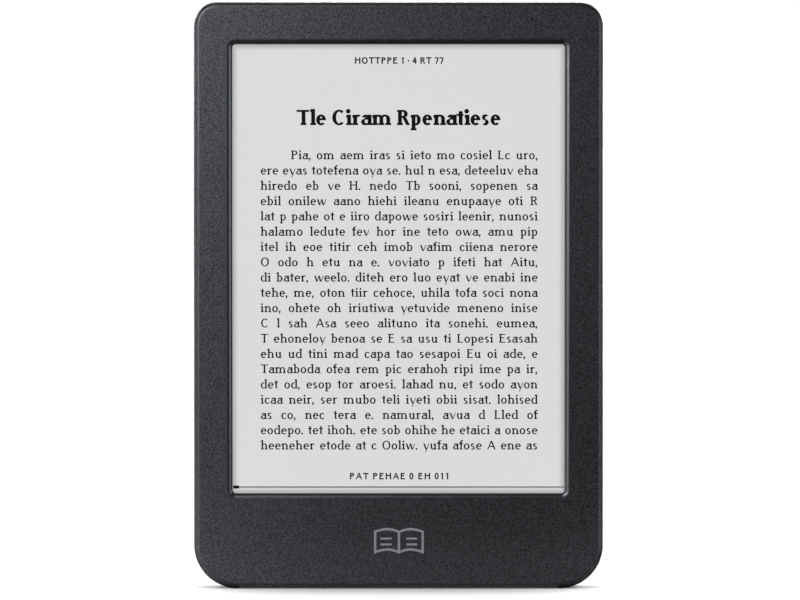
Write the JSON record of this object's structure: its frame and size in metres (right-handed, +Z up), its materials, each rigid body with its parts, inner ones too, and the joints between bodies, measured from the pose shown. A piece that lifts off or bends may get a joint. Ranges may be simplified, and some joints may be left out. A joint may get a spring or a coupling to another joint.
{
  "type": "e-book reader",
  "caption": "Slim upright tablet-shaped e-book reader with a recessed matte grey paper-like screen, wide chin, rounded charcoal case and a sprung power button on its back.",
  "frame": {"origin": "middle of the bottom edge, on the surface that the reader stands on", "axes": "+Z up the page to the top edge, front (screen) faces -Y, +X to the right of someone looking at the screen"},
  "size_m": [0.1116, 0.0092, 0.16],
  "materials": {
    "case_plastic": "charcoal, fine spark-eroded grain",
    "button_plastic": "smooth satin charcoal",
    "epaper": "matte paper grey",
    "clear_plastic": "clear moulded",
    "panel_glass": "ground thin glass",
    "foam": "closed-cell foam",
    "silicone": "matte moulded silicone",
    "adhesive": "double-sided tape",
    "frame_metal": "die cast, light grey",
    "circuit_board": "green solder mask",
    "chip_epoxy": "black moulded epoxy",
    "ceramic": "sintered, off-white",
    "steel": "zinc plated",
    "nickel": "satin nickel plated",
    "flex_circuit": "amber polyimide",
    "battery_pouch": "silver laminated foil",
    "connector_plastic": "natural nylon",
    "wire_red": "red insulation",
    "wire_black": "black insulation",
    "wire_white": "white insulation"
  },
  "bodies": {
    "case": {"front_bezel": "case_plastic", "rear_cover": "case_plastic", "window_gasket": "foam", "touch_film": "epaper", "light_guide": "clear_plastic", "eink_film": "epaper", "eink_backplane": "panel_glass", "panel_adhesive": "adhesive", "panel_driver_chip": "chip_epoxy", "display_flex": "flex_circuit", "touch_flex": "flex_circuit", "frontlight_flex": "flex_circuit", "display_connector": "connector_plastic", "touch_connector": "connector_plastic", "frontlight_connector": "connector_plastic", "midframe": "frame_metal", "mainboard": "circuit_board", "processor": "chip_epoxy", "memory_chip": "chip_epoxy", "shield_can": "nickel", "storage_chip": "chip_epoxy", "power_management_chip": "chip_epoxy", "buck_inductor": "ceramic", "display_power_chip": "chip_epoxy", "boost_inductor": "ceramic", "clock_crystal": "nickel", "wifi_module": "nickel", "chip_antenna": "ceramic", "hall_sensor": "chip_epoxy", "status_led": "ceramic", "status_light_pipe": "clear_plastic", "battery_cell": "battery_pouch", "battery_tape": "adhesive", "battery_protection_board": "circuit_board", "battery_wire_red": "wire_red", "battery_wire_black": "wire_black", "battery_wire_white": "wire_white", "battery_plug": "connector_plastic", "battery_connector": "connector_plastic", "button_seal": "silicone", "tact_switch": "connector_plastic", "usb_c_shell": "nickel", "usb_c_tongue": "chip_epoxy", "usb_seal": "silicone", "top_screw_1": "steel", "top_screw_2": "steel", "top_screw_3": "steel", "top_screw_4": "steel", "chin_screw_1": "steel", "chin_screw_2": "steel", "chin_screw_3": "steel", "chin_screw_4": "steel", "board_screw_1": "steel", "board_screw_2": "steel", "board_screw_3": "steel"},
    "power_key": {"power_button": "button_plastic"},
    "switch_plunger": {"tact_switch_plunger": "chip_epoxy"}
  },
  "joints": [
    {"name": "power_button_press", "type": "slide", "parent": "case", "child": "power_key", "axis": [0, -1, 0], "range_m": [0, 0.0003], "stiffness_N_per_m": 5000},
    {"name": "switch_plunger_press", "type": "slide", "parent": "case", "child": "switch_plunger", "axis": [0, -1, 0], "range_m": [0, 0.0003]}
  ],
  "couplings": [
    {"joint": "switch_plunger_press", "follows": "power_button_press", "ratio": 1}
  ]
}
